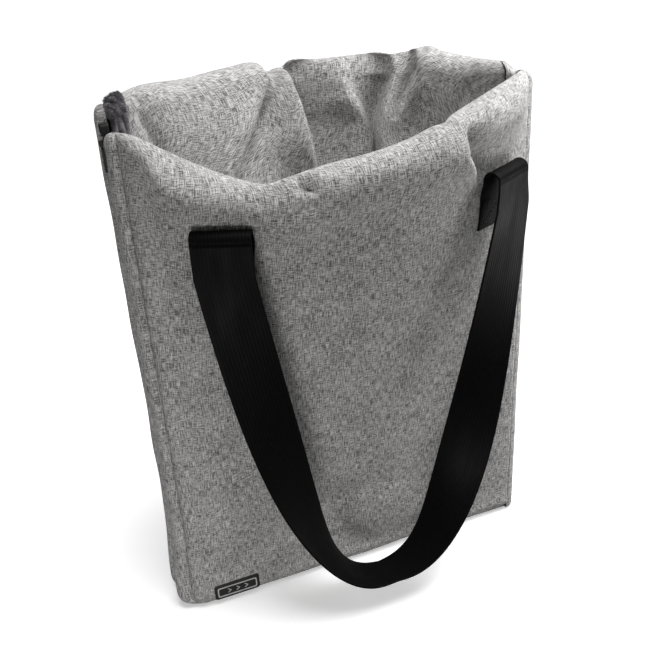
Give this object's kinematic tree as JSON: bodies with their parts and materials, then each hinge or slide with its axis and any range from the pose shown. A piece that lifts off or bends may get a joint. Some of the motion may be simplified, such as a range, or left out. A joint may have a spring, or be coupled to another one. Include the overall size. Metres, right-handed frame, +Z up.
{
  "type": "foldable tote bag",
  "caption": "Padded fold-out tote: two cushioned fabric walls joined by a spine fold and an edge zip, open lens-shaped mouth, wide webbing handles folded over outside.",
  "frame": {"origin": "middle of the base, on the surface the bag stands on", "axes": "+X to the right towards the spine fold, -Y out of the front wall, +Z up"},
  "size_m": [0.3909, 0.2312, 0.5119],
  "materials": {
    "melange_cloth": "heather grey plain-weave polyester with slubs, matt",
    "lining_cloth": "heather grey plain-weave polyester, slightly lighter",
    "padding": "white polyester wadding",
    "plush": "dark grey fluffy plush",
    "zip_tape": "black woven zip tape",
    "zip_coil": "black nylon coil",
    "zip_metal": "black painted zinc slider",
    "webbing": "black ribbed nylon webbing with a satin sheen",
    "badge_rubber": "black soft rubber patch",
    "badge_relief": "light grey raised rubber lines"
  },
  "bodies": {
    "back_wall": {"back_shell": "melange_cloth", "back_padding": "padding", "back_lining": "lining_cloth", "back_side_band": "melange_cloth", "plush_mat": "plush", "zip_tape_back": "zip_tape", "zip_coil_back": "zip_coil", "zip_end_back": "zip_tape", "zip_bottom_stop": "zip_coil", "back_anchor_left": "webbing", "back_anchor_right": "webbing"},
    "spine": {"spine_panel": "melange_cloth", "spine_lining": "lining_cloth"},
    "front_wall": {"front_shell": "melange_cloth", "front_padding": "padding", "front_lining": "lining_cloth", "front_side_band": "melange_cloth", "zip_tape_front": "zip_tape", "zip_coil_front": "zip_coil", "zip_end_front": "zip_tape", "front_anchor_left": "webbing", "front_anchor_right": "webbing", "badge": "badge_rubber", "badge_inlay": "badge_relief"},
    "front_handle": {"front_handle": "webbing"},
    "back_handle": {"back_handle": "webbing"},
    "zip_slider": {"zip_slider": "zip_metal"},
    "zip_pull": {"zip_pull": "zip_metal"}
  },
  "joints": [
    {"name": "back_fold", "type": "hinge", "parent": "back_wall", "child": "spine", "pos_m": [0.186, 0.0238, 0.25], "axis": [0, 0, 1], "range_deg": [0, 82]},
    {"name": "front_fold", "type": "hinge", "parent": "spine", "child": "front_wall", "pos_m": [0.186, -0.0306, 0.25], "axis": [0, 0, 1], "range_deg": [0, 82]},
    {"name": "front_handle_swing", "type": "hinge", "parent": "front_wall", "child": "front_handle", "pos_m": [-0.123, -0.0854, 0.4273], "axis": [-0.9996, -0.0115, -0.0268], "range_deg": [0, 130]},
    {"name": "back_handle_swing", "type": "hinge", "parent": "back_wall", "child": "back_handle", "pos_m": [-0.123, 0.0786, 0.4273], "axis": [0.9996, -0.0115, 0.0268], "range_deg": [0, 130]},
    {"name": "zip_travel", "type": "slide", "parent": "back_wall", "child": "zip_slider", "axis": [0, 0, -1], "range_m": [0, 0.44]},
    {"name": "pull_swing", "type": "hinge", "parent": "zip_slider", "child": "zip_pull", "pos_m": [-0.1936, -0.0034, 0.487], "axis": [0, 1, 0], "range_deg": [0, 160]}
  ],
  "couplings": [
    {"joint": "front_fold", "follows": "back_fold", "ratio": 1},
    {"joint": "zip_travel", "follows": "back_fold", "m_per_rad": 0.307}
  ]
}
